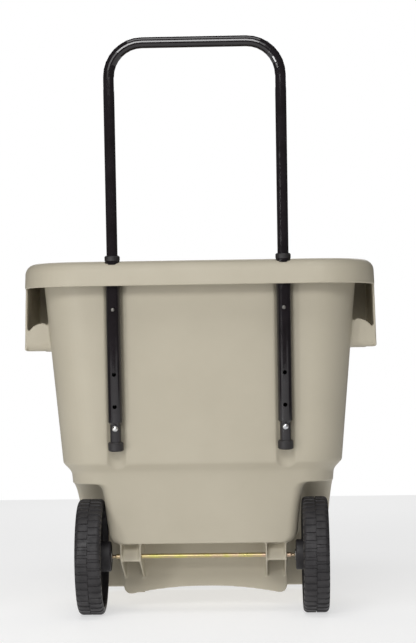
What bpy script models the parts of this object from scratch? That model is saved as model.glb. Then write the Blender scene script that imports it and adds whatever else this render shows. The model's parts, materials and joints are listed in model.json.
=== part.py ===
"""Two-wheeled resin yard cart with a telescoping steel handle.

Metres, +Z up, the handle and the wheels at -Y.  The origin is under the middle of the cart's box, on
the ground.  Everything hangs on one empty, so the heights and depths below are read from the ground
and from the middle of the rim.
"""
from math import acos, asin, cos, pi, radians, sin, sqrt, tan

import bmesh
import bpy
from mathutils import Vector

# ---- clearances -------------------------------------------------------------------------------
GAP = 0.0003             # between pieces that touch
RUNNING = 0.00035        # radial, between a shaft or a tube and the hole that it turns or slides in
SINK = 0.0002            # faces that would lie in one plane are set this far apart
PAST = 0.03              # a hole's cutter reaches this far to either side of what it cuts
FAR = 0.6                # and the cutters that clear a whole side of the cart reach this far

# ---- tub --------------------------------------------------------------------------------------
WALL = 0.004
DRAFT = tan(radians(4.9))
RIM_TOP = 0.6185
REF_Z = RIM_TOP - 0.0185  # height at which the two half sizes below are given
HALF_WIDTH = 0.2757      # outside of the upper body
HALF_DEPTH = 0.2520
UPPER_CORNER = 0.072     # plan radius of the upper body's corners
STEP = 0.0145            # the lower body is this much smaller all round
STEP_LIFT = 0.41         # share of the wall by which the step sits higher on the inside
STEP_CURVE = [(-0.012, 0.0), (-0.008, 0.06), (-0.0045, 0.20), (0.0055, 0.86), (0.008, 0.96), (0.011, 1.0)]

RIM_HANG = 0.031         # rim band outside the wall
RIM_BAND = 0.0435        # height of the band
RIM_FLARE = 0.001        # the band leans out towards its lower edge
RIM_ROUND = 0.015
RIM_LAP = 0.016          # how far the rim plate reaches inwards past the wall before it is trimmed

GROOVE_R = 0.020
GROOVE_X = HALF_WIDTH - 0.1286   # the handle legs' distance from the middle
LEG_OUT = 0.0115         # leg axis outside the wall's plane
GROOVE_TOP = 0.012       # the grooves stop this far under the rim's top
GROOVE_RUN_OUT = 0.003   # height over which they close again

# ---- axle and wheels --------------------------------------------------------------------------
AXLE_Y = 0.082 - HALF_DEPTH
AXLE_R = 0.004
WHEEL_R = 0.1016
WHEEL_WIDTH = 0.0452
WHEEL_SHOULDER = 0.008
HUB_R = 0.0265
HUB_IN = 0.0115          # how far the hub stands in from the tread's side
HUB_SUNK = 0.0125        # and its outer end lies this far inside the other side
WEB_DISH = 0.013         # depth of the web on the inner side
WEB_DISH_OUT = 0.021
RIM_THICK = 0.015
RIM_SLOPE = 0.002
WASHER_R = 0.0100
WASHER_T = 0.0016
CRIMP_LENGTH = 0.007
CRIMP_FLAT = 0.0016      # half length of the crimp's flat middle
CRIMP_TALL = 0.62
CRIMP_WIDE = 1.40
AXLE_CHAMFER = 0.001
HUBCAP_R = 0.0095        # push-on caps on the axle's ends
HUBCAP_LENGTH = 0.0085
HUBCAP_ROUND = 0.003
HUBCAP_GRIP = 0.7        # share of the cap that the axle fills

# ---- wheel wells, belly and foot --------------------------------------------------------------
WELL_TOP = 2 * WHEEL_R + 0.0278  # the wells are arches round the axle
WELL_CROWN = 0.020       # half length of the arch's flat crown
WELL_ARCH = (30, 40, 50)     # angles above the axle at which the arch's front edge is set out
WELL_FILLET = 0.017
WELL_CORNER = 0.012
WELL_EDGE = 0.011        # round of the well's front edge at the body's side
STEP_Z = WELL_TOP + 0.0285       # middle of the step
BELLY_BOTTOM = WHEEL_R + 0.0234
BELLY_ROUND = 0.018
BELLY_HALF = HALF_WIDTH - 0.1277  # half width of the belly's flat underside and of the box under it
BELLY_DRAFT = 0.114
BELLY_CORNER = 0.018
PANEL_Y = AXLE_Y + 0.085         # rear face of the box that reaches below the belly
PANEL_ARCH = 0.038       # height of the middle of its lower edge
PANEL_LOBE = 0.0245      # height of the lower edge's ends
PANEL_ROUND = 0.014
SKIRT_ABOVE = 0.012      # the panel's lower edge is shaped as a strip that ends this far above the arch
FLOOR_TAPER = 0.004      # the box's sides draw in over its lowest few millimetres
FLOOR_TAPER_TALL = 0.006
FLOOR_Z = 0.0075         # underside of the body at the front
SLOPE_END = HALF_DEPTH - 0.082   # the underside slopes from the panel down to here
SLOPE_LOW = FLOOR_Z + 0.002
FOOT_X = BELLY_HALF - 0.016      # middle of a foot
FOOT_Y = HALF_DEPTH - 0.0955
FOOT_WIDE = 0.028
FOOT_LONG = 0.043
FOOT_CHAMFER = 0.002
WHEEL_GAP = 0.0016       # between the belly's side and the wheel

# ---- axle brackets ----------------------------------------------------------------------------
BRACKET_HALF = 0.0185
BRACKET_X = BELLY_HALF - 0.020
BRACKET_REAR = AXLE_Y - 0.018
BRACKET_LOW = WHEEL_R - 0.0086
BRACKET_TIP = WHEEL_R - 0.0476
BRACKET_WALL = 0.0035
PLATE_RUN = 0.0195       # how far forward the bracket's rear plate slopes
PLATE_T = 0.0035

# ---- side ears --------------------------------------------------------------------------------
EAR_HALF = HALF_DEPTH - 0.069    # half length
EAR_BOTTOM = RIM_TOP - 0.1525
EAR_FLARE = 0.0028
EAR_WALL = 0.0038
EAR_LIP = 0.0145         # rise of the slanted lip at each end
EAR_END = 0.062          # length of the closed bottom at each end
EAR_ARCH = 0.034         # height of the arched gusset over the lip
EAR_RIB = 0.0035
EAR_SET = 0.0006         # the ear's face is this far inside the band's
EAR_EDGE = 0.006         # height and depth of the bevel along its lower edge
EAR_EDGE_IN = 0.0030
EAR_LAP = 0.006          # the ear reaches this far up inside the band
LIP_RISE = 0.003
LIP_BEVEL = 0.0016
ARCH_PEAK = 0.30         # the arched gusset is highest at this share of its width
ARCH_WALL_SIDE = 0.88    # its height at the wall, as a share of EAR_ARCH
RIB_UP = 0.014           # the middle rib starts this far above the ear's lower edge
RIB_DEEP = 0.7 * WALL    # and follows the rim this far inside its surface

# ---- handle and its guides, along the leaning legs --------------------------------------------
LEAN = radians(4.9)
TUBE_R = 0.009525
TUBE_WALL = 0.00125
HANDLE_TOP = RIM_TOP + 0.381     # top of the bar
HANDLE_BEND = 0.058      # radius of the bar's bends, on its middle line
BUTTON_Z = RIM_TOP - 0.0825
DETENT_DROPS = (0.0, 0.112, 0.168)
LEG_END = BUTTON_Z - 0.012       # lower ends of the legs with the handle drawn out
GUIDE_WALL = 0.0015
GUIDE_R = 0.0127
GUIDE_NECK = RIM_TOP - 0.2815    # height at which the guide is swaged down
NECK_R = 0.0098
NECK_TAPER = 0.004
GUIDE_END = GUIDE_NECK - 0.0430
GUIDE_PROUD = 0.001      # the guide stands this far above the rim
COLLAR_R = GUIDE_R + 0.0005
COLLAR_TALL = 0.0085
COLLAR_STEM = 0.020
COLLAR_CHAMFER = 0.002
CAP_WALL = 0.0034
CAP_LOW = GUIDE_END - 0.0032
CAP_TALL = 0.0158
CAP_CHAMFER = 0.002
BUTTON_R = 0.0032
BUTTON_PROUD = 0.0009
BUTTON_BASE = 0.0055
BUTTON_BRIM = 0.0007
BUTTON_CROWN = 0.0014
DETENT_R = 0.0037
GLIDE_FLANGE = 0.011
GLIDE_STEM = 0.006
GLIDE_CHAMFER = 0.0015
BOLT_Z = GUIDE_NECK - 0.0065
BOLT_R = 0.003
BOLT_HEAD_R = 0.0052
BOLT_HEAD = 0.003
BOLT_TAIL = 0.002        # thread showing past the nut
PAD_R = 0.006
NUT_R = 0.0058
NUT_T = 0.005
BOLT_WASHER_R = 0.009
SPRING_WIDTH = 0.0070
SPRING_T = 0.0007
SPRING_LONG = 0.030
SPRING_TAIL = 0.004      # how far the rear leaf reaches past the button's middle

ROUND = 24               # sides of the tubes
CORNER_STEPS = 7
GROOVE_STEPS = 5
SIDE_STEPS = 8
IDLE_CHORD = 0.8         # where there is no groove, its points spread over this share of its radius


# ---- scene helpers ----------------------------------------------------------------------------
def clear_scene():
    for found in list(bpy.data.objects):
        bpy.data.objects.remove(found, do_unlink=True)


def make_material(name, colour, roughness, metallic=0.0):
    made = bpy.data.materials.new(name)
    made.use_nodes = True
    shader = made.node_tree.nodes["Principled BSDF"]
    shader.inputs["Base Color"].default_value = (*colour, 1.0)
    shader.inputs["Roughness"].default_value = roughness
    shader.inputs["Metallic"].default_value = metallic
    return made


def make_empty(name, parent=None, location=(0, 0, 0), rotation=(0, 0, 0)):
    made = bpy.data.objects.new(name, None)
    bpy.context.collection.objects.link(made)
    made.parent = parent
    made.location = location
    made.rotation_euler = rotation
    return made


def make_object(name, verts, faces, material=None, parent=None, location=(0, 0, 0), smooth=True):
    """A closed solid from points and faces, with its faces turned outwards."""
    mesh = bpy.data.meshes.new(name)
    mesh.from_pydata([tuple(v) for v in verts], [], faces)
    shape = bmesh.new()
    shape.from_mesh(mesh)
    bmesh.ops.recalc_face_normals(shape, faces=shape.faces)
    shape.to_mesh(mesh)
    shape.free()
    if smooth:
        mesh.shade_smooth()
        mesh.set_sharp_from_angle(angle=radians(32))
    if material:
        mesh.materials.append(material)
    made = bpy.data.objects.new(name, mesh)
    bpy.context.collection.objects.link(made)
    made.parent = parent
    made.location = location
    return made


def combine(target, tool, operation):
    """Adds tool to target or cuts it away.  The tool stays as a hidden guide."""
    tool.hide_render = True
    tool.display_type = "WIRE"
    step = target.modifiers.new(tool.name, "BOOLEAN")
    step.operation = operation
    step.solver = "EXACT"
    step.object = tool


# ---- solids -----------------------------------------------------------------------------------
def loft(rings, closed=False):
    """Faces through rings of equal counts.  Points that coincide are shared."""
    verts, index, rows = [], {}, []
    for ring in rings:
        row = []
        for point in ring:
            key = tuple(round(c, 7) for c in point)
            if key not in index:
                index[key] = len(verts)
                verts.append(Vector(point))
            row.append(index[key])
        rows.append(row)
    faces = []
    pairs = list(zip(rows, rows[1:]))
    if closed:
        pairs.append((rows[-1], rows[0]))
    for low, high in pairs:
        for i in range(len(low)):
            j = (i + 1) % len(low)
            around = [low[i], low[j], high[j], high[i]]
            face = [v for n, v in enumerate(around) if v != around[n - 1]]
            if len(set(face)) > 2:
                faces.append(face)
    if not closed:
        faces.append(list(reversed(rows[0])))
        faces.append(rows[-1])
    return verts, faces


def turned(profile, sides=ROUND, axis="Z"):
    """Spins a closed outline of (radius, height) points.  A point at radius 0 closes the middle."""
    rings = []
    for k in range(sides):
        a = 2 * pi * k / sides
        if axis == "Z":
            rings.append([(r * cos(a), r * sin(a), h) for r, h in profile])
        elif axis == "X":
            rings.append([(h, r * cos(a), r * sin(a)) for r, h in profile])
        else:
            rings.append([(r * cos(a), h, r * sin(a)) for r, h in profile])
    return loft(rings, closed=True)


def bar(radius, low, high):
    """Outline for turned: a plain cylinder."""
    return [(0, low), (radius, low), (radius, high), (0, high)]


def prism(outline, axis, low, high):
    """A flat outline pushed along X or Y.  The outline holds the other two coordinates in order."""
    if axis == "X":
        rings = [[(level, a, b) for a, b in outline] for level in (low, high)]
    else:
        rings = [[(a, level, b) for a, b in outline] for level in (low, high)]
    return loft(rings)


def arc(cx, cy, radius, start, end, steps):
    turns = [radians(start + (end - start) * n / steps) for n in range(steps + 1)]
    return [(cx + radius * cos(a), cy + radius * sin(a)) for a in turns]


def between(a, b, count):
    """count points between a and b, without a and with b."""
    return [(a[0] + (b[0] - a[0]) * n / count, a[1] + (b[1] - a[1]) * n / count)
            for n in range(1, count + 1)]


# ---- tub: sizes that depend on height ---------------------------------------------------------
def step_share(z):
    """How much of the step has been climbed at height z, from 0 to 1."""
    at = z - STEP_Z
    if at <= STEP_CURVE[0][0]:
        return 0.0
    for (low, a), (high, b) in zip(STEP_CURVE, STEP_CURVE[1:]):
        if at <= high:
            return a + (b - a) * (at - low) / (high - low)
    return 1.0


def wall_out(z, lift=0.0):
    """Change of the outside half sizes at height z against REF_Z."""
    return (z - REF_Z) * DRAFT - STEP * (1.0 - step_share(z - lift))


def leg_y(z):
    """Distance of the leg axis behind the rim's middle at height z."""
    return HALF_DEPTH + (z - REF_Z) * DRAFT + LEG_OUT


def well_front(z, inset):
    """Where the wheel wells end towards the front at height z."""
    radius = WELL_TOP - WHEEL_R + inset
    up = max(0.0, z - WHEEL_R)
    return AXLE_Y + sqrt(max(radius * radius - up * up, WELL_CROWN * WELL_CROWN))


def half_plan(z, inset=0.0, grow=0.0, groove=False, well=None, rear_end=None):
    """Right half of the outline at height z, from the middle of the rear wall to that of the front.

    inset moves it inwards, grow moves it outwards from the wall, well is the belly's half width
    where the wheel wells cut in.
    """
    lift = STEP_LIFT * inset
    out = wall_out(z, lift) - inset + grow
    half_x, half_y = HALF_WIDTH + out, HALF_DEPTH + out
    corner = UPPER_CORNER - STEP * (1.0 - step_share(z - lift)) - inset + grow
    front_edge = well_front(z, inset)
    edge_round = WELL_EDGE - inset

    reach = GROOVE_R + inset
    offset = leg_y(z) - half_y
    if groove and offset < reach:
        open_angle = acos(offset / reach)
        chord = reach * sin(open_angle)
        hollow = [(GROOVE_X + reach * sin(a), -leg_y(z) + reach * cos(a))
                  for a in [open_angle * (2 * n / GROOVE_STEPS - 1) for n in range(GROOVE_STEPS + 1)]]
    else:
        chord = GROOVE_R * IDLE_CHORD
        hollow = [(GROOVE_X + chord * (2 * n / GROOVE_STEPS - 1), -half_y)
                  for n in range(GROOVE_STEPS + 1)]
    points = [(0.0, -half_y), ((GROOVE_X - chord) / 2, -half_y)] + hollow
    last = points[-1][0]
    if well is not None:
        rear_end = well - (BELLY_CORNER - inset)
    if rear_end is not None:
        squeeze = min(1.0, rear_end / (last + WALL))
        points = [(x * squeeze, y) for x, y in points]

    if well is not None:
        bend = BELLY_CORNER - inset
        inner = WELL_CORNER + inset
        points += arc(well - bend, -half_y + bend, bend, -90, 0, 5)
        points += between((well, -half_y + bend), (well, front_edge - inner), 4)[:-1]
        points += arc(well + inner, front_edge - inner, inner, 180, 90, 3)
        points += between((well + inner, front_edge), (half_x - edge_round, front_edge), 2)[:-1]
        points += arc(half_x - edge_round, front_edge + edge_round, edge_round, -90, 0, 2)
    else:
        start = rear_end if rear_end is not None else (points[-1][0] + half_x - corner) / 2
        points += [(start, -half_y)]
        points += arc(half_x - corner, -half_y + corner, corner, -90, 0, CORNER_STEPS)
        points += between((half_x, -half_y + corner), (half_x, front_edge + edge_round), SIDE_STEPS)
    points += between((half_x, front_edge + edge_round), (half_x, half_y - corner), 3)[:-1]
    points += arc(half_x - corner, half_y - corner, corner, 0, 90, CORNER_STEPS)
    points += [((half_x - corner) / 2, half_y), (0.0, half_y)]
    return points


def ring(z, **how):
    right = half_plan(z, **how)
    left = [(-x, y) for x, y in reversed(right[1:-1])]
    return [(x, y, z) for x, y in right + left]


def belly_half(z):
    """Half width of the belly's outside where its sides are straight."""
    return BELLY_HALF + BELLY_ROUND + (z - BELLY_BOTTOM - BELLY_ROUND) * BELLY_DRAFT


def envelope(inset, top, floor):
    """The body without its rim: the outside for inset 0, and the cavity for inset WALL."""
    round_low = BELLY_ROUND - inset
    round_low_z = BELLY_BOTTOM + BELLY_ROUND
    fillet = WELL_FILLET + inset
    fillet_z = WELL_TOP - WELL_FILLET
    fillet_x = belly_half(fillet_z) + WELL_FILLET
    belly = BELLY_HALF - inset
    rings = [ring(floor, inset=inset + FLOOR_TAPER, well=belly),
             ring(floor + FLOOR_TAPER_TALL, inset=inset, well=belly),
             ring(BELLY_BOTTOM + inset - 0.003, inset=inset, well=belly)]
    for a in (90, 60, 30, 0):
        rings.append(ring(round_low_z - round_low * sin(radians(a)), inset=inset,
                          well=BELLY_HALF + round_low * cos(radians(a))))
    for a in WELL_ARCH:
        z = WHEEL_R + (WELL_TOP - WHEEL_R) * sin(radians(a))
        rings.append(ring(z, inset=inset, well=belly_half(z) - inset))
    for a in (0, 30, 60, 90):
        rings.append(ring(fillet_z + fillet * sin(radians(a)), inset=inset,
                          well=fillet_x - fillet * cos(radians(a))))
    rings.append(ring(WELL_TOP + inset, inset=inset, rear_end=fillet_x - (BELLY_CORNER - inset)))
    lift = STEP_LIFT * inset
    for at, _ in STEP_CURVE:
        rings.append(ring(STEP_Z + at + lift, inset=inset, groove=True))
    if inset:
        rings.append(ring(top, inset=inset, groove=True))
    else:
        rings.append(ring(RIM_TOP - GROOVE_TOP - GROOVE_RUN_OUT, groove=True))
        rings.append(ring(RIM_TOP - GROOVE_TOP))
        rings.append(ring(top))
    return loft(rings)


def rim_ring():
    """The flat rim and the band that hangs from its edge."""
    plate = RIM_TOP - WALL
    outer = RIM_HANG - RIM_FLARE
    low = RIM_TOP - RIM_BAND
    section = [(-RIM_LAP, plate), (-RIM_LAP, RIM_TOP)]
    section += arc(outer - RIM_ROUND, RIM_TOP - RIM_ROUND, RIM_ROUND, 90, 0, 5)
    section += [(RIM_HANG, low), (RIM_HANG - WALL, low)]
    section += arc(outer - RIM_ROUND, RIM_TOP - RIM_ROUND, RIM_ROUND - WALL, 0, 90, 3)
    rings = []
    for out, z in section:
        shape = half_plan(plate, grow=out)
        left = [(-x, y) for x, y in reversed(shape[1:-1])]
        rings.append([(x, y, z) for x, y in shape + left])
    return loft(rings, closed=True)


def underside_cuts(parent, inset, tag):
    """Guides that clear the space under the belly and the sloping bottom, grown by inset."""
    roof = BELLY_BOTTOM + inset + GAP
    tunnel = prism([(-FAR, -FAR), (PANEL_Y + inset, -FAR), (PANEL_Y + inset, roof), (-FAR, roof)],
                   "X", -FAR, FAR)
    rise = (PANEL_ARCH - SLOPE_LOW) / (SLOPE_END - PANEL_Y)
    low = SLOPE_LOW + inset * sqrt(1 + rise * rise)
    end = SLOPE_END + inset
    slope = prism([(-FAR, -FAR), (end, -FAR), (end, low), (-FAR, low + (end + FAR) * rise)],
                  "X", -FAR, FAR)
    return [make_object("guide_tunnel_" + tag, *tunnel, parent=parent, smooth=False),
            make_object("guide_slope_" + tag, *slope, parent=parent, smooth=False)]


def panel_skirt():
    """Rear lower edge of the box under the belly: an arch between two round lobes."""
    reach = BELLY_HALF - PANEL_ROUND
    dip = PANEL_ARCH - PANEL_LOBE
    radius = (reach * reach + dip * dip) / (2 * dip)
    swing = asin(reach / radius)
    arch = [(radius * sin(a), PANEL_ARCH - radius + radius * cos(a))
            for a in [swing * (1 - n / 8) for n in range(17)]]
    right = arc(reach - SINK, PANEL_LOBE + PANEL_ROUND, PANEL_ROUND, 0, -90, 5)[:-1]
    right.insert(0, (BELLY_HALF - SINK, PANEL_ARCH + SKIRT_ABOVE))
    left = [(-x, z) for x, z in reversed(right)]
    return prism(right + arch + left, "Y", PANEL_Y + SINK, PANEL_Y + WALL)


def foot_solid(side):
    """A low block that the cart rests on, under the front of the body."""
    near, far = FOOT_Y - FOOT_LONG / 2, FOOT_Y + FOOT_LONG / 2
    top = FLOOR_Z + 2 * WALL
    outline = [(near, top), (near, FOOT_CHAMFER), (near + FOOT_CHAMFER, 0.0)]
    outline += [(far - FOOT_CHAMFER, 0.0), (far, FOOT_CHAMFER), (far, top)]
    middle = side * FOOT_X
    return prism(outline, "X", middle - FOOT_WIDE / 2, middle + FOOT_WIDE / 2)


def ear_solids(side):
    """The pieces of one side ear as (name, solid)."""
    plate = RIM_TOP - WALL
    outer_top = HALF_WIDTH + wall_out(plate) + RIM_HANG - EAR_SET
    top = RIM_TOP - RIM_BAND + EAR_LAP

    def outer(z):
        return outer_top + EAR_FLARE * (top - z) / (top - EAR_BOTTOM)

    def wall(z):
        return HALF_WIDTH + wall_out(z) - WALL / 2

    def mirrored(outline):
        return [(x * side, z) for x, z in outline]

    foot = EAR_BOTTOM + EAR_EDGE
    skin = [(outer(top), top), (outer(foot), foot)]
    skin += [(outer(EAR_BOTTOM) - EAR_EDGE_IN, EAR_BOTTOM), (outer(EAR_BOTTOM) - EAR_WALL, EAR_BOTTOM)]
    skin += [(outer(foot) - EAR_WALL, foot), (outer(top) - EAR_WALL, top)]
    made = [("skin", prism(mirrored(skin), "Y", -EAR_HALF, EAR_HALF))]

    low = EAR_BOTTOM + SINK
    face = EAR_HALF - SINK
    lip_top = low + EAR_LIP + LIP_RISE
    for name, end in (("rear", -1), ("front", 1)):
        lip = [(face, lip_top), (face, low + EAR_LIP), (face - EAR_LIP, low)]
        lip += [(EAR_HALF - EAR_END, low), (EAR_HALF - EAR_END, low + EAR_WALL)]
        lip += [(face - EAR_LIP - LIP_BEVEL, low + EAR_WALL), (face - EAR_WALL, lip_top)]
        span = sorted((side * wall(EAR_BOTTOM), side * (outer(EAR_BOTTOM) - EAR_WALL / 2)))
        made.append(("lip_" + name, prism([(y * end, z) for y, z in lip], "X", *span)))

        base = low + EAR_LIP + LIP_RISE / 2
        shoulder = base + EAR_ARCH * ARCH_WALL_SIDE
        wide = outer(base) - EAR_WALL / 2 - wall(base)
        arch = [(wall(shoulder), shoulder)]
        arch += [(wall(base) + wide * (ARCH_PEAK + (1 - ARCH_PEAK) * sin(a)), base + EAR_ARCH * cos(a))
                 for a in [pi / 2 * n / 6 for n in range(7)]]
        arch += [(wall(base), base)]
        depth = sorted((end * (face - SINK), end * (face - EAR_RIB)))
        made.append(("arch_" + name, prism(mirrored(arch), "Y", *depth)))

    rib_low = EAR_BOTTOM + RIB_UP
    bend = HALF_WIDTH + wall_out(plate) + RIM_HANG - RIM_FLARE - RIM_ROUND
    rib = [(wall(rib_low), rib_low), (outer(rib_low) - EAR_WALL / 2, rib_low)]
    rib += [(outer(top) - EAR_WALL / 2, top)]
    rib += arc(bend, RIM_TOP - RIM_ROUND, RIM_ROUND - RIB_DEEP, 0, 90, 3)
    rib += [(wall(plate), RIM_TOP - RIB_DEEP)]
    made.append(("rib", prism(mirrored(rib), "Y", -EAR_RIB / 2, EAR_RIB / 2)))
    return made


def bracket_solids(side):
    """Two ribs and a sloping plate that carry one end of the axle."""
    root = BELLY_BOTTOM + WALL / 2
    made = []
    rib = [(BRACKET_REAR, root), (BRACKET_REAR, BRACKET_LOW), (PANEL_Y + WALL / 2, BRACKET_TIP),
           (PANEL_Y + WALL / 2, root)]
    for name, edge in (("outer", BRACKET_HALF), ("inner", -BRACKET_HALF + BRACKET_WALL)):
        high = side * BRACKET_X + edge
        made.append((name, prism(rib, "X", high - BRACKET_WALL, high)))
    near, low = BRACKET_REAR + 2 * SINK, BRACKET_LOW + 2 * SINK
    plate = [(near + PLATE_RUN, root), (near, low)]
    plate += [(near + PLATE_T, low), (near + PLATE_RUN + PLATE_T, root)]
    span = BRACKET_HALF - BRACKET_WALL / 2
    made.append(("plate", prism(plate, "X", side * BRACKET_X - span, side * BRACKET_X + span)))
    return made


def leg_frame(name, parent, x):
    """An empty on a leg's axis at the rim's top, with its Z along the leg."""
    return make_empty(name, parent, (x, -leg_y(RIM_TOP), RIM_TOP), (LEAN, 0, 0))


def along(z):
    """Distance along a leg from the rim's top to height z."""
    return (z - RIM_TOP) / cos(LEAN)


def make_tub(root, material):
    tub = make_object("tub", *envelope(0.0, RIM_TOP - WALL / 2, FLOOR_Z), material, root)
    for guide in underside_cuts(root, 0.0, "outside"):
        combine(tub, guide, "DIFFERENCE")
    combine(tub, make_object("guide_rim", *rim_ring(), parent=root), "UNION")
    cavity = make_object("guide_cavity", *envelope(WALL, RIM_TOP + PAST, FLOOR_Z + WALL), parent=root)
    for guide in underside_cuts(root, WALL, "inside"):
        combine(cavity, guide, "DIFFERENCE")
    added = [("skirt", panel_skirt())]
    for word, side in (("left", -1), ("right", 1)):
        added += [("ear_" + word + "_" + n, s) for n, s in ear_solids(side)]
        added += [("bracket_" + word + "_" + n, s) for n, s in bracket_solids(side)]
        added.append(("foot_" + word, foot_solid(side)))
    for name, solid in added:
        combine(tub, make_object("guide_" + name, *solid, parent=root, smooth=False), "UNION")
    pad = turned(bar(PAD_R, NECK_R + GAP, GROOVE_R + WALL / 2), axis="Y")
    spot = (0, 0, along(BOLT_Z))
    frames = {word: leg_frame("tub_leg_" + word, root, side * GROOVE_X)
              for word, side in (("left", -1), ("right", 1))}
    for word, frame in frames.items():
        combine(tub, make_object("guide_pad_" + word, *pad, parent=frame, location=spot), "UNION")
    combine(tub, cavity, "DIFFERENCE")
    reach = GUIDE_R + GAP
    rim_hole = turned(bar(reach, -PAST, PAST))
    bolt_hole = turned(bar(BOLT_R + GAP, 0, PAST), 16, "Y")
    for word, frame in frames.items():
        combine(tub, make_object("guide_rim_hole_" + word, *rim_hole, parent=frame), "DIFFERENCE")
        combine(tub, make_object("guide_bolt_hole_" + word, *bolt_hole, parent=frame, location=spot),
                "DIFFERENCE")
    past = BRACKET_X + BRACKET_HALF + PAST
    hole = turned(bar(AXLE_R + GAP, -past, past), 16, "X")
    combine(tub, make_object("guide_axle_hole", *hole, parent=root, location=(0, AXLE_Y, WHEEL_R)),
            "DIFFERENCE")
    return tub


# ---- handle -----------------------------------------------------------------------------------
def handle_path():
    """Middle line of the bar in the legs' plane as (x, distance along the legs, tangent angle)."""
    low = along(LEG_END)
    high = (HANDLE_TOP - RIM_TOP - TUBE_R) / cos(LEAN)
    turn = high - HANDLE_BEND
    right = [(GROOVE_X, low, 90.0), (GROOVE_X, turn, 90.0)]
    for n in range(1, 8):
        a = 90.0 * n / 8
        right.append((GROOVE_X - HANDLE_BEND * (1 - cos(radians(a))),
                      turn + HANDLE_BEND * sin(radians(a)), 90.0 + a))
    right.append((GROOVE_X - HANDLE_BEND, high, 180.0))
    left = [(-x, s, 360.0 - a) for x, s, a in reversed(right)]
    return right + left


def swept_tube(path, outer, inner, sides=ROUND):
    """A hollow tube along a path in the XZ plane, open at both ends."""
    rows = []
    for radius in (outer, inner):
        row = []
        for x, s, heading in path:
            t = radians(heading)
            across = Vector((-sin(t), 0, cos(t)))
            row.append([Vector((x, 0, s)) + across * radius * cos(2 * pi * k / sides)
                        + Vector((0, 1, 0)) * radius * sin(2 * pi * k / sides) for k in range(sides)])
        rows.append(row)
    return loft(rows[0] + list(reversed(rows[1])), closed=True)


def make_handle(root, material):
    slide = leg_frame("handle_slide", root, 0.0)
    solid = swept_tube(handle_path(), TUBE_R, TUBE_R - TUBE_WALL)
    handle = make_object("handle_bar", *solid, material, slide)
    for word, side in (("left", -1), ("right", 1)):
        hole = turned(bar(DETENT_R, -PAST, 0), 16, "Y")
        spot = (side * GROOVE_X, 0, along(BUTTON_Z))
        combine(handle, make_object("guide_button_hole_" + word, *hole, parent=slide, location=spot),
                "DIFFERENCE")
    return slide


def make_guide(root, word, side, steel, black):
    """One fixed outer tube with its collar, end cap, bolt, washer and nut."""
    frame = leg_frame("guide_frame_" + word, root, side * GROOVE_X)
    top, neck, end = GUIDE_PROUD, along(GUIDE_NECK), along(GUIDE_END)
    taper = neck + NECK_TAPER
    tube = turned([(GUIDE_R, top), (GUIDE_R - GUIDE_WALL, top), (GUIDE_R - GUIDE_WALL, taper),
                   (NECK_R - GUIDE_WALL, neck), (NECK_R - GUIDE_WALL, end), (NECK_R, end),
                   (NECK_R, neck), (GUIDE_R, taper)])
    guide = make_object("guide_tube_" + word, *tube, steel, frame)
    for n, drop in enumerate(DETENT_DROPS):
        hole = turned(bar(DETENT_R, -PAST, 0), 16, "Y")
        spot = (0, 0, along(BUTTON_Z) - drop)
        combine(guide, make_object(f"guide_detent_{word}_{n}", *hole, parent=frame, location=spot),
                "DIFFERENCE")
    hole = turned(bar(BOLT_R + GAP, -PAST, PAST), 16, "Y")
    spot = (0, 0, along(BOLT_Z))
    combine(guide, make_object("guide_tube_hole_" + word, *hole, parent=frame, location=spot),
            "DIFFERENCE")

    bore, stem = TUBE_R + RUNNING, GUIDE_R - GUIDE_WALL - GAP
    seat = top + GAP
    collar = turned([(bore, seat + COLLAR_TALL), (bore, -COLLAR_STEM), (stem, -COLLAR_STEM),
                     (stem, seat), (COLLAR_R, seat), (COLLAR_R, seat + COLLAR_TALL - COLLAR_CHAMFER),
                     (COLLAR_R - COLLAR_CHAMFER, seat + COLLAR_TALL)])
    make_object("guide_collar_" + word, *collar, black, frame)

    low, high = along(CAP_LOW), along(CAP_LOW + CAP_TALL)
    bore = NECK_R + GAP
    cap_r = bore + CAP_WALL
    cap = turned([(0, low), (cap_r - CAP_CHAMFER, low), (cap_r, low + CAP_CHAMFER),
                  (cap_r, high - CAP_CHAMFER), (cap_r - CAP_CHAMFER, high), (bore, high),
                  (bore, end - GAP), (0, end - GAP)])
    make_object("guide_end_cap_" + word, *cap, black, frame)

    inside = GROOVE_R + WALL
    washer_at = inside + GAP
    nut_at = washer_at + WASHER_T + GAP
    tip = nut_at + NUT_T + BOLT_TAIL
    head = -(NECK_R + GAP)
    dome = arc(0, head, BOLT_HEAD_R, -30, -90, 4)
    squash = BOLT_HEAD / BOLT_HEAD_R
    crown = [(x if n < 4 else 0.0, head + (y - head) * squash) for n, (x, y) in enumerate(dome)]
    bolt = turned([(0, tip), (BOLT_R, tip), (BOLT_R, head), (BOLT_HEAD_R, head)] + crown, 16, "Y")
    make_object("guide_bolt_" + word, *bolt, steel, frame, spot)
    bore = BOLT_R + GAP
    washer = turned([(bore, washer_at), (BOLT_WASHER_R, washer_at),
                     (BOLT_WASHER_R, washer_at + WASHER_T), (bore, washer_at + WASHER_T)], 20, "Y")
    make_object("guide_washer_" + word, *washer, steel, frame, spot)
    make_object("guide_nut_" + word, *hex_nut(bore, NUT_R, nut_at, nut_at + NUT_T), steel, frame, spot,
                smooth=False)


def hex_nut(bore, across, low, high, sides=12):
    """A hexagonal nut along Y with a round bore."""
    rings = []
    for level, radius, is_hex in ((low, across, True), (high, across, True), (high, bore, False),
                                  (low, bore, False)):
        row = []
        for k in range(sides):
            a = 2 * pi * k / sides
            reach = radius if not is_hex or k % 2 == 0 else radius * cos(pi / 6)
            row.append((reach * cos(a), level, reach * sin(a)))
        rings.append(row)
    return loft(rings, closed=True)


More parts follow.
